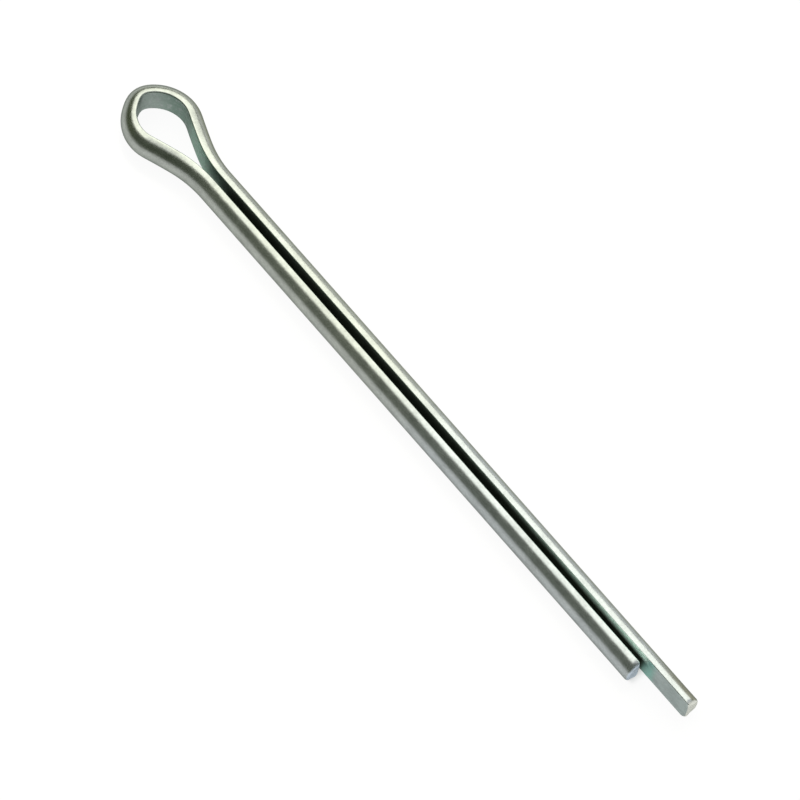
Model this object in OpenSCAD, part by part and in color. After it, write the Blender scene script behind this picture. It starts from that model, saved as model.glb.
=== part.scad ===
// Split cotter pin, folded from one length of half-round wire.
// X runs along the shank from the neck of the eye to the cut tips, Y points to the side of
// the long leg and Z is the axis of the eye. The pin lies flat, with its eye in the XY plane.
// The flat side of the wire faces inwards all the way round and the round side faces outwards,
// so the two straight legs together make one round shank with an open slot along its middle.
// Each side of the eye is a chain of bends, as a wire former would list them: the apex, the
// flank, the shoulder, the side and the neck. Every radius is that of the wire's flat side.

/* [Wire] */
// Diameter across the two legs lying side by side
shank_d = 2.9; // [2.3:0.05:3.5]
// Open slot between the flat sides of the legs
slot_w = 0.58; // [0.3:0.02:0.8]
// Rounding of the two long edges between the flat side and the round side
edge_r = 0.13; // [0.06:0.01:0.2]

/* [Legs] */
// Straight length of the short leg, from the neck to its cut tip
short_leg = 48; // [20:0.5:80]
// How far the long leg reaches past the tip of the short one
extra_reach = 4.55; // [1:0.05:8]
// Rounding of the outer edge of each cut tip
tip_r = 0.22; // [0.05:0.01:0.4]

/* [Eye] */
// Clear length of the eye, from the neck to the inside of the apex
eye_len = 8.5; // [7.1:0.1:10.2]
// Clear width of the eye across its shoulders
eye_w = 3.6; // [3:0.05:4.3]
// Inside radius of the apex, the tight bend that closes the eye
apex_r = 0.8; // [0.5:0.05:1.1]
// Inside radius of the two shoulders, where the eye is widest
shoulder_r = 2.1; // [1.6:0.05:2.5]

/* [Bend angles in degrees] */
// Half of the apex bend
apex_turn = 28.5; // [23:0.5:35]
// Slack flank between apex and shoulder, on the side of the long leg
flank_turn_long = 51.5; // [30:0.5:62]
// The same flank on the side of the short leg
flank_turn_short = 13; // [10:0.5:62]
// Slope of the eye's side where it leaves the shoulder, on the side of the long leg
slope_long = 22; // [18:0.5:26.5]
// The same slope on the side of the short leg
slope_short = 21.5; // [17.5:0.5:26]
// How much of that slope the side loses before it reaches the neck
side_turn = 2.5; // [1:0.5:8]

/* [Hidden] */
$fn = 120;
shank_r = shank_d/2;
half_slot = slot_w/2;
// How far an edge's rounding would stand out of the round side, so that the two cross in a
// line: arcs that only touch have no certain end
edge_cross = 0.0005;
// Height of the centre of an edge's rounding
edge_z = sqrt(pow(shank_r - edge_r + edge_cross, 2) - pow(half_slot + edge_r, 2));
// How often the way from the shank's axis to that centre is laid off to clear the round side
wedge_reach = shank_d/(half_slot + edge_r);
// Steps that lengths and angles are kept to, so that neighbouring bends meet face to face
fine_length = 0.001;
fine_angle = 0.001;

function whole(value, step) = round(value/step)*step;
function way(bearing) = [cos(bearing), sin(bearing)];
// A point outside the wire, on the line from the axis of the shank through the centre of an
// edge's rounding, which is where the rounding runs over into the round side
function past_edge(side) = [-half_slot, 0] + wedge_reach*[half_slot + edge_r, side*edge_z];
// Solves p*x + q*y = v for the two numbers x and y
function solve(p, q, v) = [v.x*q.y - q.x*v.y, p.x*v.y - v.x*p.y]/(p.x*q.y - q.x*p.y);

// Section of the wire: flat side on the Y axis, round side towards +X, both edges rounded.
// The round side is centred on the axis of the shank, half a slot behind the flat side.
module wire_section() {
    intersection() {
        translate([-half_slot, 0]) circle(r = shank_r);
        union() {
            polygon([
                [0, -edge_z], [edge_r, -edge_z], past_edge(-1),
                past_edge(1), [edge_r, edge_z], [0, edge_z]
            ]);
            for (side = [-1, 1]) translate([edge_r, side*edge_z]) circle(r = edge_r);
        }
    }
}

// Moves to a point in two steps, a whole number of microns and then what is left of it
module place(point) {
    near = [whole(point.x, fine_length), whole(point.y, fine_length)];
    translate(near) translate(point - near) children();
}

// Wire bent round a centre, from one bearing to another, with its flat side on the inside
module bend(centre, r, from, to) {
    place(centre) rotate_extrude(start = from, angle = to - from) place([r, 0]) wire_section();
}
// The same bend with the flat side of the wire on the outside
module counter_bend(centre, r, from, to) {
    place(centre) rotate_extrude(start = from, angle = to - from)
        place([r, 0]) mirror([1, 0]) wire_section();
}

// One side of the eye on +Y, from the apex to the neck. The bearings are those of the wire's
// round side at each joint. The flank's radius follows from the width of the eye, and the
// radii of the side and the neck are the two that bring the wire to the slot at x = 0.
module eye_side(flank_turn, slope) {
    apex_end = 180 - whole(apex_turn, fine_angle);
    flank_end = apex_end - whole(flank_turn, fine_angle);
    shoulder_end = 90 - whole(slope, fine_angle);
    side_end = shoulder_end + whole(side_turn, fine_angle);
    crown = eye_w/2 - shoulder_r*(1 - sin(flank_end)) - apex_r*sin(apex_end);
    flank_r = crown/(sin(flank_end) - sin(apex_end));
    apex_c = [apex_r - eye_len, 0];
    flank_c = apex_c + (apex_r - flank_r)*way(apex_end);
    shoulder_c = flank_c + (flank_r - shoulder_r)*way(flank_end);
    side_start = shoulder_c + shoulder_r*way(shoulder_end);
    radii = solve(way(shoulder_end) - way(side_end), way(side_end) - [0, 1], [0, half_slot] - side_start);
    side_c = side_start + radii[0]*way(shoulder_end);
    bend(apex_c, apex_r, apex_end, 180);
    bend(flank_c, flank_r, flank_end, apex_end);
    bend(shoulder_c, shoulder_r, shoulder_end, flank_end);
    counter_bend(side_c, radii[0], shoulder_end - 180, side_end - 180);
    counter_bend([0, half_slot + radii[1]], radii[1], side_end - 180, -90);
}

// One straight leg on +Y, cut square, with the outer edge of its tip rounded
module leg(length) {
    intersection() {
        translate([0, half_slot]) rotate([90, 0, 90]) linear_extrude(height = length) wire_section();
        rotate([0, 90, 0]) rotate_extrude() tip_outline(length);
    }
}
// Half outline of a round bar as thick as the shank, with its far edge rounded
module tip_outline(length) {
    spare = 1;
    translate([0, -spare]) square([shank_r + spare, spare + length - tip_r]);
    square([shank_r - tip_r, length]);
    translate([shank_r - tip_r, length - tip_r]) circle(r = tip_r);
}

module cotter_pin() color([0.72, 0.75, 0.70]) {
    leg(short_leg + extra_reach);
    eye_side(flank_turn_long, slope_long);
    mirror([0, 1, 0]) {
        leg(short_leg);
        eye_side(flank_turn_short, slope_short);
    }
}

cotter_pin();
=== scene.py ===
"""Split cotter pin: one length of half-round wire, folded round an eye and zinc plated."""

import math
from types import SimpleNamespace

import bpy
import numpy as np
from bpy.props import FloatProperty, FloatVectorProperty, IntProperty, PointerProperty
from bpy.types import Operator, Panel, PropertyGroup
from mathutils import Matrix, Vector


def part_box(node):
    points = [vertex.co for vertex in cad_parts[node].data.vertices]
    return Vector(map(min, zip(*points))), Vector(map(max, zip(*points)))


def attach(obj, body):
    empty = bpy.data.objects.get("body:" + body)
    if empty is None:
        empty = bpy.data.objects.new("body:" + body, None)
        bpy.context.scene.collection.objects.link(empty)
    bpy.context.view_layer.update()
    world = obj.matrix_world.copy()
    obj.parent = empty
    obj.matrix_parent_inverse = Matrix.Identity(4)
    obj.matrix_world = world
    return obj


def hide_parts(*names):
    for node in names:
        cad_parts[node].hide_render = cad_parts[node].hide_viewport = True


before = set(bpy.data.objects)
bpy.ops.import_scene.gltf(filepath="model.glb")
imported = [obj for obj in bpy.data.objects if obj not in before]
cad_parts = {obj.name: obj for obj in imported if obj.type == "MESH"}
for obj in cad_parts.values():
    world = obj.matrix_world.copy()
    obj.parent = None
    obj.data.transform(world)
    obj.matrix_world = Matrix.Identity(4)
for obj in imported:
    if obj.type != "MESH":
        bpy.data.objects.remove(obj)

bl_info = {
    "name": "Split cotter pin",
    "version": (1, 0, 0),
    "blender": (4, 5, 0),
    "location": "View3D > Sidebar > Cotter pin",
    "description": "Folds a zinc plated split cotter pin from one length of half-round wire",
    "category": "Object",
}

NODE = "cotter_pin"
MM = 0.001
LOW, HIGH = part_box(NODE)
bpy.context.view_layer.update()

BEND_NARROWING = 0.035  # share of its height that the wire's outer half loses in tight bends
SENSOR_WIDTH = 36.0  # the camera's, in millimetres
LIGHT_MIDDLE = (-0.1234, 0.3797, 0.9168)  # unit direction from the pin to the soft light's middle


# ------------------------------------------------------------------ the line of the wire


def bearing(angle):
    """The unit vector that points along an angle."""
    return np.array([np.cos(angle), np.sin(angle)])


def solve_pair(p, q, v):
    """The two numbers that make first * p + second * q equal v, by Cramer's rule."""
    det = p[0] * q[1] - p[1] * q[0]
    return (v[0] * q[1] - q[0] * v[1]) / det, (p[0] * v[1] - v[0] * p[1]) / det


def eye_side(pin, flank_turn, slope):
    """The (turn, radius) of each bend from the apex of the eye to its neck, turns towards
    the inside being positive. The flank's radius is the one that gives the eye its width,
    and the last two radii are those that bring the wire to the slot at x = 0."""
    apex_end = math.pi - pin["apex_turn"]
    flank_end = apex_end - flank_turn
    shoulder_end = math.pi / 2 - slope
    side_end = shoulder_end + pin["side_turn"]
    apex_r, shoulder_r = pin["apex_r"], pin["shoulder_r"]
    crown = pin["eye_w"] / 2 - shoulder_r * (1 - math.sin(flank_end)) - apex_r * math.sin(apex_end)
    flank_r = crown / (math.sin(flank_end) - math.sin(apex_end))
    apex_c = np.array([apex_r - pin["eye_len"], 0.0])
    flank_c = apex_c + (apex_r - flank_r) * bearing(apex_end)
    shoulder_c = flank_c + (flank_r - shoulder_r) * bearing(flank_end)
    shoulder_to = shoulder_c + shoulder_r * bearing(shoulder_end)
    side_r, neck_r = solve_pair(
        bearing(shoulder_end) - bearing(side_end),
        bearing(side_end) - np.array([0.0, 1.0]),
        np.array([0.0, pin["slot_w"] / 2]) - shoulder_to,
    )
    return [
        (pin["apex_turn"], apex_r),
        (flank_turn, flank_r),
        (flank_end - shoulder_end, shoulder_r),
        (-pin["side_turn"], side_r),
        (-(math.pi / 2 - side_end), neck_r),
    ]


def stretches(pin):
    """(length, curvature) of each part of the flat side's line, from the short tip round the
    eye to the long tip. A turn by an angle at a radius is angle * radius long."""
    short = eye_side(pin, pin["flank_turn_short"], pin["slope_short"])
    long = eye_side(pin, pin["flank_turn_long"], pin["slope_long"])
    bends = [(abs(turn) * r, -math.copysign(1 / r, turn)) for turn, r in short[::-1] + long]
    return np.array([(pin["short_leg"], 0.0)] + bends + [(pin["long_leg"], 0.0)])


def centre_line(pin, steps=12000):
    """The flat side's line in the plane of the pin, as (s, x, y, heading, curvature) arrays.
    The curvature is that of the stretches, softened by a raised cosine so that the bends run
    into each other. The heading is its running sum, and the place is the running sum of the
    heading's cosine and sine. What is left over at the long tip is taken off along the eye,
    and the eye is then brought to its stated length and width."""
    lengths, curvatures = stretches(pin).T
    ends = np.concatenate([[0.0], np.cumsum(lengths)])
    total, half = ends[-1], pin["slot_w"] / 2
    ds = total / steps
    middle = (np.arange(steps) + 0.5) * ds
    curve = curvatures[np.searchsorted(ends[1:-1], middle, side="right")]
    window = int(pin["bend_blend"] / ds)
    kernel = 1 - np.cos(2 * np.pi * (np.arange(window) + 0.5) / window)
    curve = np.convolve(curve, kernel / kernel.sum(), mode="same")
    turned = np.pi + np.concatenate([[0.0], np.cumsum(curve) * ds])
    mid_heading = (turned[1:] + turned[:-1]) / 2
    s = np.arange(steps + 1) * ds
    place = np.zeros((steps + 1, 2))
    place[1:] = np.cumsum(np.stack([np.cos(mid_heading), np.sin(mid_heading)], 1) * ds, 0)
    place += [pin["short_leg"], -half]
    share = np.clip((s - ends[1]) / (ends[-2] - ends[1]), 0, 1)
    place += share[:, None] * (np.array([pin["long_leg"], half]) - place[-1])
    x, y = place.T
    x = np.where(x < 0, x * pin["eye_len"] / -x.min(), x)
    for side in (-1, 1):
        out = side * y > half
        room = (side * y)[out].max() - half
        y = np.where(out, side * (half + (side * y - half) * (pin["eye_w"] / 2 - half) / room), y)
    heading = np.unwrap(np.arctan2(np.gradient(y), np.gradient(x)))
    bent = np.concatenate([curve[:1], (curve[1:] + curve[:-1]) / 2, curve[-1:]])
    return s, x, y, heading, bent


def stations(total, eye_from, eye_to, pin):
    """Distances along the wire at which it gets a ring: close together round the eye, and
    further apart on the legs."""
    leg, eye = pin["leg_step"], pin["eye_step"]
    edge_depth = pin["tip_r"] + 2 * pin["corner_extra"]
    parts = [
        np.linspace(edge_depth, eye_from, int(eye_from / leg), endpoint=False),
        np.linspace(eye_from, eye_to, int((eye_to - eye_from) / eye), endpoint=False),
        np.linspace(eye_to, total - edge_depth, int((total - eye_to) / leg)),
    ]
    return np.concatenate(parts)


# ------------------------------------------------------------------ the wire's section


def half_round(pin, flat_n=12, edge_n=9, round_n=56):
    """The closed outline of the half-round wire as (out, up, normal's out) arrays, out being
    the distance from the flat side and up the height above its middle. It runs up the flat,
    round one edge's arc, over the arc of the shank's radius about the shank's axis, and comes
    back as its mirror image. The column that starts it is in the middle of the flat."""
    r, half, e = pin["shank_d"] / 2, pin["slot_w"] / 2, pin["edge_r"]
    edge_up = math.sqrt((r - e) ** 2 - (half + e) ** 2)
    rise = math.atan2(edge_up, half + e)
    up = np.linspace(0, edge_up, flat_n // 2, endpoint=False)
    turn = np.linspace(math.pi, rise, edge_n, endpoint=False)
    over = np.linspace(rise, 0, round_n // 2, endpoint=False)
    a = np.concatenate([0 * up, e + e * np.cos(turn), -half + r * np.cos(over), [r - half]])
    b = np.concatenate([up, edge_up + e * np.sin(turn), r * np.sin(over), [0.0]])
    out = np.concatenate([-1 + 0 * up, np.cos(turn), np.cos(over), [1.0]])
    mirrored = ((a, 1), (b, -1), (out, 1))
    return [np.concatenate([upper, sign * upper[-2:0:-1]]) for upper, sign in mirrored]


def ripple(along, round_turn, seed, waves, shortest, longest, lobes):
    """A smooth random height from 0 to 1 over the wire: the sum of cosines of the distance
    along it divided by a random wavelength, plus a random whole number of turns of the angle
    round it, plus a random phase, the longer waves being the higher."""
    draw = np.random.default_rng(seed)
    total, top = 0.0, 0.0
    for _ in range(waves):
        wave = shortest * (longest / shortest) ** draw.random()
        turns = draw.integers(0, lobes + 1)
        height = math.sqrt(wave)
        phase = draw.random() * 2 * np.pi
        total = total + height * np.cos(2 * np.pi * along / wave + turns * round_turn + phase)
        top += height
    return 0.5 + 0.5 * total / top


def smooth(low, high, value):
    """0 below low, 1 above high, and between them the cubic 3 t^2 - 2 t^3."""
    t = np.clip((value - low) / (high - low), 0, 1)
    return t * t * (3 - 2 * t)


def wire_rings(pin):
    """All rings of the wire as grids of points, with their places in the straight wire, their
    share of cut face and the curvature there. A ring is the section carried to a station: a
    point of it stands out from the line by its distance from the flat, along the line's
    left-hand normal, and up by its height. Ripples take a few microns off the round side, and
    where the wire bends its outer half is a little narrower. At each tip the rings go round
    the edge towards a point inside the section, by the tip's radius on the round side, by a
    small one on the flat and by more at the corners, and then shrink to that point over the
    cut face, which has a shallow relief."""
    line_s, line_x, line_y, line_h, line_k = centre_line(pin)
    total = line_s[-1]
    parts = stretches(pin)[:, 0]
    body = stations(total, parts[0] - 1, total - parts[-1] + 1, pin)
    a, b, out = half_round(pin)
    axis = pin["slot_w"] / 2
    angle = np.arctan2(b, a + axis * out.clip(0, 1))
    inside = 0.42 * pin["shank_d"] / 2  # how far out the point lies that the cut faces close to
    reach = np.hypot(a - inside, b)
    corner = smooth(0.45, 1.0, np.abs(b) / b.max()) * np.where(b < 0, 2.0, 1.0)
    edge = pin["flat_edge_r"] + (pin["tip_r"] - pin["flat_edge_r"]) * smooth(-0.8, 0.3, out)
    edge = edge + pin["corner_extra"] * corner
    turns = np.linspace(0, math.pi / 2, pin["edge_rings"])
    shrinks = (0.12, 0.3, 0.5, 0.7, 0.86, 0.95, 1.0)

    def tip(end, way, seed):
        """Rings from the last station round the edge and in to the middle of a cut face."""
        rows = []
        for turn in turns:
            share = edge * (1 - math.cos(turn)) / reach
            along = end - way * edge * (1 - math.sin(turn))
            rows.append((along, a + (inside - a) * share, b - b * share, 0 * a + math.sin(turn)))
        _, rim_a, rim_b, _ = rows[-1]
        for shrink in shrinks:
            relief = ripple(shrink * 1.5, angle, seed, waves=14, shortest=0.5, longest=1.6, lobes=5)
            depth = pin["cut_relief"] * (shrink * (2 - shrink)) * (0.35 + relief)
            rows.append((
                end - way * depth,
                rim_a + (inside - rim_a) * shrink,
                rim_b - rim_b * shrink,
                1 + 0 * a,
            ))
        return [np.stack(column) for column in zip(*rows)]

    first, last = tip(0.0, -1, 11), tip(total, 1, 23)
    s_body = np.repeat(body[:, None], len(a), 1)
    bend = np.interp(s_body, line_s, np.abs(line_k))
    rough = ripple(s_body, angle, 5, waves=34, shortest=0.7, longest=9.0, lobes=4)
    fade = smooth(0, 2.0, np.minimum(s_body, total - s_body))
    dent = pin["ripple"] * rough * fade * smooth(0.2, 0.9, out)
    narrow = 1 - BEND_NARROWING * np.clip(bend * 1.2, 0, 1) * smooth(0.3, 1.0, a / a.max())
    a_body = a - dent * out
    b_body = b * narrow - dent * np.sin(angle)
    s_all = np.concatenate([first[0][::-1], s_body[1:-1], last[0]])
    a_all = np.concatenate([first[1][::-1], a_body[1:-1], last[1]])
    b_all = np.concatenate([first[2][::-1], b_body[1:-1], last[2]])
    cut = np.concatenate([first[3][::-1], 0 * s_body[1:-1], last[3]])
    x = np.interp(s_all, line_s, line_x)
    y = np.interp(s_all, line_s, line_y)
    heading = np.interp(s_all, line_s, line_h)
    x = np.where(s_all < 0, line_x[0] - s_all, x)
    place = np.stack([x - np.sin(heading) * a_all, y + np.cos(heading) * a_all, b_all], 2)
    straight = np.stack([s_all - total / 2, a_all, b_all], 2)
    bend_all = np.interp(s_all, line_s, np.abs(line_k))
    return place, straight, cut, bend_all


def strip_map(place, rows=4, margin=0.004):
    """Where each corner of the grid lies on a square sheet: the wire's skin is slit along the
    middle of its flat, unrolled, and cut into rows that are laid one above another. Returns
    the corners' u and v for the grid's faces, ring by ring."""
    steps = np.linalg.norm(np.diff(place, axis=0), axis=2).mean(1)
    along = np.concatenate([[0.0], np.cumsum(steps)])
    round_it = np.linalg.norm(np.diff(place, axis=1, append=place[:, :1]), axis=2).mean(0)
    way_round = np.concatenate([[0.0], np.cumsum(round_it)]) / round_it.sum()
    cuts = np.searchsorted(along, np.arange(1, rows) * along[-1] / rows)
    row = np.searchsorted(cuts, np.arange(len(along) - 1), side="right")
    starts = along[np.concatenate([[0], cuts])]
    longest = np.diff(np.concatenate([starts, along[-1:]])).max()
    u = np.stack([along[:-1] - starts[row], along[1:] - starts[row]], 1) / longest
    u = margin + u * (1 - 2 * margin)
    v = (row[:, None] + margin * rows + way_round * (1 - 2 * margin * rows)) / rows
    return u, v


def sweep_mesh(name, place, straight, cut, bend):
    """One closed mesh from a grid of rings, whose first and last rings are single points:
    quads between neighbouring rings and columns, and triangles at the two points. It carries
    its unrolled skin as a UV map, and the wire's readings at each point as attributes."""

    def per_point(values):
        """A grid's values in the order of the mesh's points."""
        inside = values[1:-1].reshape(-1, *values.shape[2:])
        return np.concatenate([values[:1, 0], inside, values[-1:, 0]])

    points = per_point(place)
    end_point = len(points) - 1
    grid = np.arange(1, end_point).reshape(-1, place.shape[1])
    here, there = grid[:-1], grid[1:]
    quads = np.stack([here, np.roll(here, -1, 1), np.roll(there, -1, 1), there], 2)
    start = np.stack([0 * grid[0], np.roll(grid[0], -1), grid[0]], 1)
    end = np.stack([0 * grid[0] + end_point, grid[-1], np.roll(grid[-1], -1)], 1)
    faces = quads.reshape(-1, 4).tolist() + start.tolist() + end.tolist()
    mesh = bpy.data.meshes.new(name)
    mesh.from_pydata((points * MM).tolist(), [], faces)

    def corners(*pairs):
        """The (u, v) corners of faces, in the order in which a face goes round them."""
        return np.stack([np.stack(np.broadcast_arrays(*pair), -1) for pair in pairs], -2)

    u, v = strip_map(place)
    near, far = v[:, :-1], v[:, 1:]
    u_in, u_out = u[1:-1, :1], u[1:-1, 1:]
    quad_uv = corners((u_in, near[1:-1]), (u_in, far[1:-1]), (u_out, far[1:-1]), (u_out, near[1:-1]))
    start_uv = corners((u[0, 0], (near[0] + far[0]) / 2), (u[0, 1], far[0]), (u[0, 1], near[0]))
    end_uv = corners((u[-1, 1], (near[-1] + far[-1]) / 2), (u[-1, 0], near[-1]), (u[-1, 0], far[-1]))
    sheet = np.concatenate([part.reshape(-1, 2) for part in (quad_uv, start_uv, end_uv)])
    layer = mesh.uv_layers.new(name="OFBake")
    layer.data.foreach_set("uv", sheet.astype(np.float32).ravel())
    wire = mesh.attributes.new("straight_wire", "FLOAT_VECTOR", "POINT")
    wire.data.foreach_set("vector", per_point(straight).astype(np.float32).ravel())
    for title, values in (("cut_face", cut), ("bend", bend)):
        layer = mesh.attributes.new(title, "FLOAT", "POINT")
        layer.data.foreach_set("value", per_point(values).astype(np.float32).ravel())
    mesh.polygons.foreach_set("use_smooth", np.ones(len(mesh.polygons), bool))
    mesh.update()
    if mesh.validate():
        raise RuntimeError(f"{name}: the mesh had faults")
    return mesh


# ------------------------------------------------------------------ shader trees


class Reading:
    """One output of a shader node, so that sums on it are written as Python."""

    def __init__(self, tree, socket):
        self.tree, self.socket = tree, socket

    def __add__(self, other):
        return self.tree.sum("ADD", self, other)

    def __sub__(self, other):
        return self.tree.sum("SUBTRACT", self, other)

    def __rsub__(self, other):
        return self.tree.sum("SUBTRACT", other, self)

    def __mul__(self, other):
        return self.tree.sum("MULTIPLY", self, other)

    __radd__, __rmul__ = __add__, __mul__

    def limit(self):
        """Kept between 0 and 1."""
        return self.tree.node("ShaderNodeClamp", {}, {"Value": self})

    def size(self):
        """Without its sign."""
        return self.tree.node("ShaderNodeMath", {"operation": "ABSOLUTE"}, {0: self})

    def ramp(self, low, high):
        """0 at low, 1 at high, and smooth between them."""
        return self.tree.node(
            "ShaderNodeMapRange",
            {"interpolation_type": "SMOOTHSTEP"},
            {"Value": self, "From Min": low, "From Max": high},
        )


class ShaderTree:
    """The node tree of a material or a world."""

    def __init__(self, holder):
        holder.use_nodes = True
        self.nodes, self.links = holder.node_tree.nodes, holder.node_tree.links
        self.nodes.clear()

    def node(self, kind, settings, inputs, output=0):
        """A node of that kind. Its settings are set first, then its sockets, found by name or
        number, get a value or a link. Gives the reading of one of its outputs."""
        made = self.nodes.new(kind)
        for key, value in settings.items():
            setattr(made, key, value)
        for key, value in inputs.items():
            socket = made.inputs[key]
            if isinstance(value, Reading):
                self.links.new(value.socket, socket)
            else:
                socket.default_value = value
        return Reading(self, made.outputs[output]) if made.outputs else made

    def sum(self, operation, first, second):
        """Two numbers added, subtracted or multiplied."""
        return self.node("ShaderNodeMath", {"operation": operation}, {0: first, 1: second})

    def mix(self, share, first, second, blend="MIX"):
        """Two colours mixed by a share."""
        settings = {"data_type": "RGBA", "blend_type": blend}
        return self.node("ShaderNodeMix", settings, {0: share, 6: first, 7: second}, 2)

    def stretched(self, place, scales):
        """A place multiplied by one scale for each axis."""
        return self.node("ShaderNodeVectorMath", {"operation": "MULTIPLY"}, {0: place, 1: scales})

    def noise(self, place, scale, detail=2.0, roughness=0.5):
        """Smooth random values about 0.5, of so many waves to a unit of the place."""
        inputs = {"Vector": place, "Scale": scale, "Detail": detail, "Roughness": roughness}
        return self.node("ShaderNodeTexNoise", {"noise_dimensions": "3D"}, inputs)

    def axis(self, place, name):
        """One of a place's three numbers."""
        return self.node("ShaderNodeSeparateXYZ", {}, {0: place}, name)

    def grey(self, value):
        """A colour with one value in all its channels."""
        return self.node("ShaderNodeCombineColor", {}, {0: value, 1: value, 2: value})

    def attribute(self, name, output):
        """A reading that the mesh carries."""
        return self.node("ShaderNodeAttribute", {"attribute_name": name}, {}, output)

    def blend(self, share, first, second):
        """Two shaders mixed by a share."""
        return self.node("ShaderNodeMixShader", {}, {0: share, 1: first, 2: second})

    def finish(self, kind, surface):
        """The output node."""
        self.node(kind, {}, {"Surface": surface})


def wire_zones(tree, pin):
    """Where the finish, and the light and shade painted on it, change on the wire, as shares
    from 0 to 1. They follow the distance from the apex of the eye, the distance out from the
    flat side and the height above the flat's middle, all in millimetres. The neck and the mouth are the
    two ends of the slot."""
    wire = tree.attribute("straight_wire", "Vector")
    along, out, up = (tree.axis(wire, name) for name in "XYZ")
    neck, mouth = pin["eye_side_short"], pin["eye_side_short"] + pin["short_leg"]
    from_apex = (along - (mouth - pin["total"] / 2)).size()
    cut_face = tree.attribute("cut_face", "Fac").ramp(0.35, 0.9)
    flat = (1 - out.ramp(0.015, 0.085)) * (1 - cut_face)

    # The walls begin at the neck. The slot, with the shade painted on its walls, ends at the mouth, and
    # a painted reflection lies just past it.
    walls = flat * from_apex.ramp(neck - 0.9, neck + 2.2)
    # painted shade: the slot's walls are darkened from the neck to the mouth
    slot = walls * (1 - from_apex.ramp(mouth - 0.5, mouth - 0.05))
    # painted reflection: a greener patch on the flat just past the mouth
    past_mouth = from_apex.ramp(mouth - 0.7, mouth - 0.2)
    painted_mouth_reflection = flat * past_mouth * (1 - from_apex.ramp(mouth + 0.5, mouth + 1.2))

    # Painted light on the slot's walls grows over the last stretch of the slot, and reaches lower down
    # as it grows.
    wall_light_length = 24.0
    nearing = ((from_apex - (mouth - wall_light_length)) * (1 / wall_light_length)).limit()
    wall_light_from = 0.28 + (mouth - from_apex) * 0.025
    painted_wall_light = nearing * (0.3 + 0.7 * nearing) * ((up - wall_light_from) * 1.5).limit()
    painted_wall_light = (painted_wall_light + 0.10 * up.ramp(0.5, 1.4)).limit() * walls
    painted_wall_light = painted_wall_light * (1 - from_apex.ramp(mouth - 0.3, mouth + 0.4))

    # The half of the wire past its middle holds the long leg, down whose outer side an olive shade is
    # painted, darker at its tip.
    long_leg = along.ramp(-1.0, 1.0)
    far_side = long_leg * up.ramp(-0.6, 0.2) * (1 - cut_face)
    on_legs = 0.6 * from_apex.ramp(neck - 3.0, neck + 1.0)
    on_legs = on_legs + 0.4 * from_apex.ramp(neck, neck + 12.0)
    return SimpleNamespace(
        wire=wire,
        cut_face=cut_face,
        flat=flat,
        slot=slot,
        painted_mouth_reflection=painted_mouth_reflection,
        painted_wall_light=painted_wall_light,
        long_leg=long_leg,
        towards_tips=from_apex.ramp(neck, mouth),
        thick=from_apex.ramp(26.0, 38.0),
        green=flat * from_apex.ramp(4.2, 5.4) * (1 - from_apex.ramp(7.2, 8.8)),
        worn=flat * (1 - from_apex.ramp(0.6, 2.6)),
        # painted shade down the outer side of the long leg, and more at its tip
        painted_far_flank_shade=far_side * out.ramp(0.6, 1.05) * 0.8,
        painted_far_tip_shade=far_side * out.ramp(0.36, 0.66) * from_apex.ramp(mouth - 1.0, mouth + 3.5),
        hazy=on_legs * (1 - flat),
    )


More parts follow.
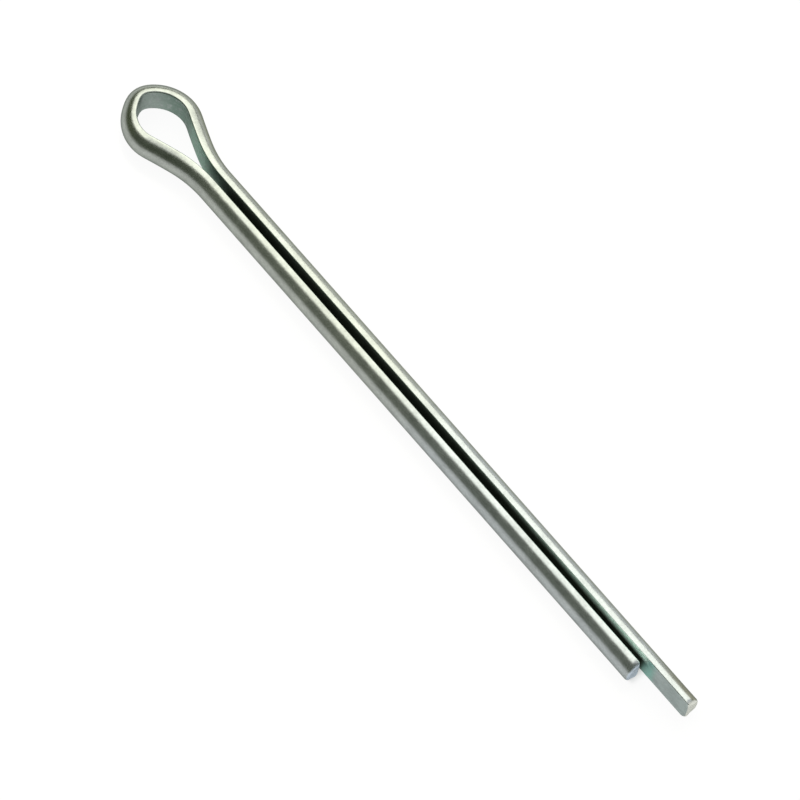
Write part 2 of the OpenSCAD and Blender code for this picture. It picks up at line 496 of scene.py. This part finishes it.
def zinc_plate(finish, pin):
    """Bright zinc over drawn wire. On the unrolled wire, fine draw marks and plating grain
    break up the shine, and a passivate drifts from cream at the eye to mint at the tips.
    Olive painted shade darkens the outer side of the long leg, more so at its tip. The flat
    side is duller, greener and mottled, with painted shade round the eye. The slot's walls
    carry painted shade, with painted light high up towards the mouth and a painted reflection
    as a greener patch on the flat past it. The cut faces are matt, grainy and bare."""
    material = bpy.data.materials.new("zinc_plated_wire")
    tree = ShaderTree(material)
    zone = wire_zones(tree, pin)
    wire, flat, cut_face = zone.wire, zone.flat, zone.cut_face

    wander = tree.noise(tree.stretched(wire, (0.24, 0.5, 0.5)), 1.0, 2.0) - 0.5
    blotch = tree.noise(tree.stretched(wire, (0.8, 1.1, 1.1)), 1.0, 3.0, 0.6)
    drawn = tree.noise(tree.stretched(wire, (0.22, 9.0, 9.0)), 1.0, 3.0, 0.6)
    grain = tree.noise(wire, 5.5, 3.0, 0.62)
    pits = tree.noise(wire, 2.3, 2.0, 0.5)
    coarse = tree.noise(wire, 7.0, 4.0, 0.7)

    # the flat's duller finish, with painted shade round the eye, where it is much darker than at the
    # tips
    flat_tone_and_shade = tree.mix(zone.towards_tips, (*finish.dull_flat_and_eye_shade, 1), (*finish.flat_end, 1))
    for share, colour in (
        (zone.worn, finish.worn_flat),
        (zone.green, finish.green_flat),
        # painted reflection: a greener patch on the flat just past the mouth
        (zone.painted_mouth_reflection, finish.painted_mouth_reflection),
        (pits.ramp(0.5, 0.68) * 0.5, finish.mottle),
    ):
        flat_tone_and_shade = tree.mix(share, flat_tone_and_shade, (*colour, 1))
    bare = tree.mix(zone.long_leg, (*finish.cut_short, 1), (*finish.cut_long, 1))
    drift = (zone.thick + wander * 0.9).limit()
    shade = tree.mix(drift, (*finish.cream, 1), (*finish.mint, 1))
    for share, colour in (
        # painted shade down the long leg's outer side and at its tip
        (zone.painted_far_flank_shade, (*finish.painted_far_flank_shade, 1)),
        (zone.painted_far_tip_shade, (*finish.painted_far_tip_shade, 1)),
        (flat, flat_tone_and_shade),
        # painted shade on the slot's walls
        (zone.slot, (*finish.painted_slot_shade, 1)),
        # painted light high on the slot's walls towards the mouth
        (zone.painted_wall_light, (*finish.painted_wall_light, 1)),
        (cut_face, bare),
    ):
        shade = tree.mix(share, shade, colour)
    uneven = blotch * 0.55 + drawn * 0.15 + grain * 0.5
    level = 0.42 + 0.98 * uneven  # about 1 on average
    shade = tree.mix(1.0, shade, tree.grey(level), "MULTIPLY")

    gloss = finish.roughness + (blotch - 0.5) * 0.10 + (drawn - 0.5) * 0.08
    gloss = gloss + flat * 0.24 + zone.slot * 0.15 + cut_face * 0.22
    gloss = gloss + tree.attribute("bend", "Fac").ramp(0.3, 1.3) * 0.03
    # the painted light on the slot's walls is matt
    metal = (1 - zone.hazy * finish.haze) * (1 - zone.painted_wall_light)

    relief = (grain - 0.5) * finish.grain_height + (drawn - 0.5) * finish.draw_height
    relief = relief + (pits - 0.5) * finish.pit_height
    relief = relief + cut_face * (coarse - 0.5) * finish.cut_height
    normal = tree.node("ShaderNodeBump", {}, {"Strength": 1.0, "Distance": MM, "Height": relief})
    surface = tree.node("ShaderNodeBsdfPrincipled", {}, {
        "Base Color": shade,
        "Metallic": metal,
        "Roughness": gloss.limit(),
        "Specular Tint": (*finish.edge_tint, 1),
        "Normal": normal,
    })
    tree.finish("ShaderNodeOutputMaterial", surface)
    return material


# ------------------------------------------------------------------ sizes and finish


def length_of(name, default, low, high, description):
    """A length, given in millimetres and kept in metres."""
    return FloatProperty(
        name=name, description=description, default=default * MM, min=low * MM, max=high * MM,
        unit="LENGTH", precision=5,
    )


def share_of(name, default, low, high, description):
    """A share of a whole."""
    return FloatProperty(
        name=name, description=description, default=default, min=low, max=high, subtype="FACTOR",
    )


def number_of(name, default, low, high, description):
    """A plain number."""
    return FloatProperty(name=name, description=description, default=default, min=low, max=high)


def angle_of(name, default, low, high, description):
    """An angle, given in degrees and kept in radians."""
    return FloatProperty(
        name=name, description=description, default=math.radians(default),
        min=math.radians(low), max=math.radians(high), subtype="ANGLE",
    )


def colour_of(name, default, description):
    """A colour, as linear red, green and blue."""
    return FloatVectorProperty(
        name=name, description=description, default=default, size=3, min=0, max=1, subtype="COLOR",
    )


class PinSizes(PropertyGroup):
    """Sizes of the pin as its solid has them, and those of its unevenness and its rings."""

    shank_d: length_of("Shank diameter", 2.9, 2.3, 3.5, "Both legs and the slot between them")
    slot_w: length_of("Slot width", 0.58, 0.3, 0.8, "Gap between the flat sides of the legs")
    edge_r: length_of("Wire edge radius", 0.13, 0.06, 0.2, "Rounding of the half-round wire's edges")
    short_leg: length_of("Short leg", 48.0, 20.0, 80.0, "From the neck of the eye to the short tip")
    long_leg: length_of("Long leg", HIGH.x / MM, 21.0, 88.0, "From the neck of the eye to the long tip")
    tip_r: length_of("Tip radius", 0.25, 0.05, 0.4, "Rounding of the round side at the tips")
    flat_edge_r: length_of("Flat's tip radius", 0.08, 0.01, 0.1, "Rounding of the flat side there")
    corner_extra: length_of("Extra tip radius", 0.2, 0.0, 0.4, "At corners, twice at the lower ones")
    eye_len: length_of("Eye length", 8.5, 7.1, 10.2, "From the neck to the inside of the apex")
    eye_w: length_of("Eye width", 3.6, 3.0, 4.3, "Widest inside width of the eye")
    apex_r: length_of("Apex radius", 0.8, 0.5, 1.1, "Inside radius at the far end of the eye")
    shoulder_r: length_of("Shoulder radius", 2.1, 1.6, 2.5, "Inside radius where the eye is widest")
    bend_blend: length_of("Bend blend", 0.44, 0.1, 1.5, "Over which one bend runs into the next")
    ripple: length_of("Ripple", 0.010, 0.0, 0.03, "Unevenness of the drawn round side")
    cut_relief: length_of("Cut relief", 0.03, 0.0, 0.1, "Hollows in the cut faces of the tips")
    apex_turn: angle_of("Apex turn", 28.5, 23, 35, "Turn on each side of the apex")
    flank_turn_long: angle_of("Flank turn, long leg", 51.5, 30, 62, "Turn of the eye's flank there")
    flank_turn_short: angle_of("Flank turn, short leg", 13, 10, 62, "Turn of the eye's flank there")
    slope_long: angle_of("Slope, long leg", 22.0, 18, 26.5, "Slope of the eye's side at the shoulder")
    slope_short: angle_of("Slope, short leg", 21.5, 17.5, 26, "Slope of the eye's side at the shoulder")
    side_turn: angle_of("Side turn", 2.5, 1, 8, "Slow turn of each side of the eye")
    leg_step: length_of("Ring spacing, legs", 0.22, 0.1, 2.0, "Distance between rings on the legs")
    eye_step: length_of("Ring spacing, eye", 0.11, 0.05, 1.0, "Distance between rings round the eye")
    edge_rings: IntProperty(
        name="Edge rings", description="Rings round each tip's edge", default=8, min=3, max=24,
    )

    NOT_LENGTHS = (
        "apex_turn", "flank_turn_long", "flank_turn_short", "slope_long", "slope_short",
        "side_turn", "edge_rings",
    )

    def in_mm(self):
        """The sizes by name, lengths in millimetres and angles in radians, and two lengths
        along the wire: from the neck to the apex on the short leg's side, and of all of it."""
        sizes = {}
        for key in self.__annotations__:
            value = getattr(self, key)
            sizes[key] = value if key in self.NOT_LENGTHS else value / MM
        lengths = stretches(sizes)[:, 0]
        short_half = lengths[: len(lengths) // 2]
        sizes["eye_side_short"] = float(short_half[1:].sum())
        sizes["total"] = float(lengths.sum())
        return sizes


class ZincFinish(PropertyGroup):
    """Colours and surface of the zinc plating."""

    cream: colour_of("Cream passivate", (0.395, 0.42, 0.385), "Plating round the eye, thinly coated")
    mint: colour_of("Mint passivate", (0.405, 0.437, 0.44), "Plating at the tips, thickly coated")
    worn_flat: colour_of("Worn flat", (0.34, 0.395, 0.365), "The flat side at the apex of the eye")
    green_flat: colour_of("Green flat", (0.34, 0.475, 0.405), "The eye's flat side towards its neck")
    # Painted light: a pale colour high on the slot's walls near the mouth
    painted_wall_light: colour_of("Zinc bloom", (0.70, 0.89, 0.83), "Powder high on the slot's walls near the tips")
    haze: share_of("Haze", 0.145, 0, 1, "Powdery share of the plating on the legs")
    # Duller flat finish, and painted shade of the inside of the eye
    dull_flat_and_eye_shade: colour_of("Flat side", (0.235, 0.31, 0.27), "The duller flat side, round the eye")
    flat_end: colour_of("Flat side at the tips", (0.445, 0.505, 0.495), "The flat side there")
    # Painted reflection: the greener patch on the flat just past the slot's mouth
    painted_mouth_reflection: colour_of("Stain", (0.33, 0.56, 0.50), "Dried on the flat at the slot's mouth")
    # Painted shade: the near-black colour of the slot's walls
    painted_slot_shade: colour_of("Slot wall", (0.085, 0.11, 0.085), "The walls of the slot between the legs")
    cut_short: colour_of("Cut face, short leg", (0.59, 0.67, 0.76), "The cut face of the short leg")
    cut_long: colour_of("Cut face, long leg", (0.82, 0.83, 0.77), "The cut face of the long leg")
    mottle: colour_of("Mottle", (0.40, 0.425, 0.42), "Paler specks on the flat side")
    # Painted shade: olive darkening down the outer side of the long leg
    painted_far_flank_shade: colour_of("Olive", (0.34, 0.355, 0.27), "Passivate on the outer side of the long leg")
    # Painted shade: the darker outer side of the long leg's tip
    painted_far_tip_shade: colour_of("Tarnish", (0.25, 0.255, 0.20), "Outer side of the long leg's tip")
    edge_tint: colour_of("Edge tint", (0.35, 0.37, 0.35), "Shine at a glancing angle")
    roughness: share_of("Roughness", 0.22, 0.05, 0.9, "Of the round side")
    grain_height: number_of("Grain height", 0.004, 0, 0.05, "Plating grain, in millimetres")
    draw_height: number_of("Draw mark height", 0.0015, 0, 0.05, "Marks along the wire, in millimetres")
    pit_height: number_of("Pit height", 0.004, 0, 0.05, "Low hollows, in millimetres")
    cut_height: number_of("Cut grain height", 0.03, 0, 0.2, "Grain of the cut faces, in millimetres")


class StudioSetup(PropertyGroup):
    """Floor, light and camera."""

    floor_size: length_of("Floor size", 8000, 500, 20000, "Side of the square floor")
    floor_colour: colour_of("Floor colour", (0.95, 0.95, 0.95), "Pale matt floor")
    floor_lift: share_of("Floor lift", 0.93, 0, 1, "How much of the floor shows as plain white")
    floor_ior: number_of("Floor coat", 1.4, 1, 3, "Refractive index of the floor's satin coat")
    soft_light: number_of("Soft light", 2.5, 0, 5, "Strength of the overhead soft light")
    side_fill: number_of("Side fill", 0.95, 0, 5, "Strength of its dimmer half, towards the tips")
    light_colour: colour_of("Light colour", (1.0, 0.985, 0.90), "Colour of the soft light")
    room: colour_of("Dim room", (0.104, 0.122, 0.090), "What is round the soft light")
    room_behind: colour_of("Dim room, eye end", (0.098, 0.12, 0.066), "The darker part of the room")
    lens: number_of("Lens", 270, 20, 600, "Focal length in millimetres")
    distance: length_of("Distance", 433.92, 50, 5000, "From the camera to what it looks at")
    azimuth: angle_of("Azimuth", 38.995, -180, 180, "Round the pin, from straight across it")
    elevation: angle_of("Elevation", 65.947, 0, 90, "Above the floor")
    roll: angle_of("Roll", 12.10, -180, 180, "Turn of the camera about its line of sight")
    look_x: length_of("Look at x", 21.444, -50, 100, "Point on the pin that the camera looks at")
    look_y: length_of("Look at y", -0.316, -50, 50, "Point on the pin that the camera looks at")


# ------------------------------------------------------------------ operators


def new_piece(name, mesh, material):
    """An object at the origin that shows a mesh in one material."""
    mesh.materials.append(material)
    piece = bpy.data.objects.new(name, mesh)
    bpy.context.scene.collection.objects.link(piece)
    return piece


class PIN_OT_wire(Operator):
    """Fold the half-round wire into the pin and plate it with zinc"""

    bl_idname = "cotter_pin.wire"
    bl_label = "Folded wire"

    def execute(self, context):
        pin = context.scene.pin_sizes.in_mm()
        mesh = sweep_mesh("folded_wire", *wire_rings(pin))
        piece = new_piece("folded_wire", mesh, zinc_plate(context.scene.zinc_finish, pin))
        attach(piece, "root")
        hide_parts(NODE)
        return {"FINISHED"}


def floor_material(studio, pin):
    """A pale floor. A share of it shows as plain white to the eye and in reflections, so that
    its shadows stay light, except under the shank, where the slot looks down on it. In front
    of the pin and beyond its eye it has a satin coat, which mirrors the dim side of the room."""
    material = bpy.data.materials.new("pale_floor")
    tree = ShaderTree(material)
    in_metres = tree.node("ShaderNodeTexCoord", {}, {}, "Object")
    place = tree.stretched(in_metres, (1 / MM, 1 / MM, 1 / MM))
    along, across = tree.axis(place, "X"), tree.axis(place, "Y")
    half_leg = pin["short_leg"] / 2
    past_leg = (along - half_leg).size().ramp(half_leg - 1.0, half_leg + 0.5)
    under = (1 - across.size().ramp(0.7, 1.1)) * (1 - past_leg)
    camera, glossy, clear = (
        tree.node("ShaderNodeLightPath", {}, {}, ray)
        for ray in ("Is Camera Ray", "Is Glossy Ray", "Is Transmission Ray")
    )
    share = (camera + glossy + clear).limit() * (1 - under) * studio.floor_lift
    matt = tree.node("ShaderNodeBsdfDiffuse", {}, {"Color": (*studio.floor_colour, 1)})
    white = tree.node("ShaderNodeEmission", {}, {"Color": (1, 1, 1, 1), "Strength": 1.0})
    beside = across.ramp(-9.0, 1.0) * along.ramp(-19.0, -9.0)
    sheen = tree.node("ShaderNodeFresnel", {}, {"IOR": studio.floor_ior}) * (1 - beside)
    coat = tree.node("ShaderNodeBsdfGlossy", {}, {"Color": (1, 1, 1, 1), "Roughness": 0.1})
    body = tree.blend(share, matt, white)
    tree.finish("ShaderNodeOutputMaterial", tree.blend(sheen, body, coat))
    return material


def studio_world(studio):
    """A dim room with one big soft light overhead. The light is a cap of the sky about a
    direction that leans back over the pin, so that it reaches the horizon behind the pin and
    ends half-way down in front of it. It is dimmer towards the tips, and a little beyond the
    eye, where the room is darker too. The light is where the direction's dot product with
    the cap's middle is high, and the rest follows the direction's x."""
    world = bpy.data.worlds.new("soft_studio")
    tree = ShaderTree(world)
    way = tree.node("ShaderNodeTexCoord", {}, {}, "Generated")
    tipward = tree.axis(way, "X")
    both = {0: way, 1: LIGHT_MIDDLE}
    towards = tree.node("ShaderNodeVectorMath", {"operation": "DOT_PRODUCT"}, both, "Value")

    def glow(colour, strength):
        """Plain light of a colour."""
        return tree.node("ShaderNodeBackground", {}, {"Color": colour, "Strength": strength})

    walls = tree.mix(tipward.ramp(-0.62, -0.24), (*studio.room_behind, 1), (*studio.room, 1))
    strength = studio.soft_light * (0.84 + 0.16 * tipward.ramp(-0.8, -0.55))
    light = glow((*studio.light_colour, 1), strength)
    soft = tree.blend(tipward.ramp(-0.17, 0.08), light, glow((1, 1, 1, 1), studio.side_fill))
    sky = tree.blend(towards.ramp(0.415, 0.505), glow(walls, 1.0), soft)
    tree.finish("ShaderNodeOutputWorld", sky)
    return world


class PIN_OT_stage(Operator):
    """Lay the floor, light the studio and set up the camera"""

    bl_idname = "cotter_pin.stage"
    bl_label = "Floor, light and camera"

    def execute(self, context):
        scene, studio = context.scene, context.scene.studio_setup
        half = studio.floor_size / 2
        mesh = bpy.data.meshes.new("floor")
        corners = np.array([(-1, -1, 0), (1, -1, 0), (1, 1, 0), (-1, 1, 0)]) * half + [0, 0, LOW.z]
        mesh.from_pydata(corners.tolist(), [], [(0, 1, 2, 3)])
        floor = new_piece("floor", mesh, floor_material(studio, scene.pin_sizes.in_mm()))
        scene.world = studio_world(studio)
        scene.view_settings.view_transform = "Standard"

        camera = bpy.data.cameras.new("camera")
        camera.lens, camera.sensor_width, camera.clip_start = studio.lens, SENSOR_WIDTH, 10 * MM
        holder = bpy.data.objects.new("camera", camera)
        scene.collection.objects.link(holder)
        level = math.cos(studio.elevation)
        back = Vector((
            math.sin(studio.azimuth) * level,
            -math.cos(studio.azimuth) * level,
            math.sin(studio.elevation),
        ))
        turned = back.to_track_quat("Z", "Y").to_matrix() @ Matrix.Rotation(studio.roll, 3, "Z")
        place = Vector((studio.look_x, studio.look_y, 0)) + back * studio.distance
        holder.matrix_world = Matrix.Translation(place) @ turned.to_4x4()
        scene.camera = holder
        return {"FINISHED"}


class PIN_PT_sidebar(Panel):
    """Sizes, finish and studio of the cotter pin"""

    bl_label = "Cotter pin"
    bl_space_type = "VIEW_3D"
    bl_region_type = "UI"
    bl_category = "Cotter pin"

    def draw(self, context):
        groups = (
            (context.scene.pin_sizes, PIN_OT_wire),
            (context.scene.zinc_finish, None),
            (context.scene.studio_setup, PIN_OT_stage),
        )
        for group, maker in groups:
            box = self.layout.box()
            for key in group.__annotations__:
                box.prop(group, key)
            if maker:
                box.operator(maker.bl_idname)


CLASSES = (PinSizes, ZincFinish, StudioSetup, PIN_OT_wire, PIN_OT_stage, PIN_PT_sidebar)


def register():
    for item in CLASSES:
        bpy.utils.register_class(item)
    bpy.types.Scene.pin_sizes = PointerProperty(type=PinSizes)
    bpy.types.Scene.zinc_finish = PointerProperty(type=ZincFinish)
    bpy.types.Scene.studio_setup = PointerProperty(type=StudioSetup)


def unregister():
    for name in ("pin_sizes", "zinc_finish", "studio_setup"):
        delattr(bpy.types.Scene, name)
    for item in reversed(CLASSES):
        bpy.utils.unregister_class(item)


def main():
    register()
    bpy.ops.cotter_pin.wire()
    bpy.ops.cotter_pin.stage()


if __name__ == "__main__":
    main()
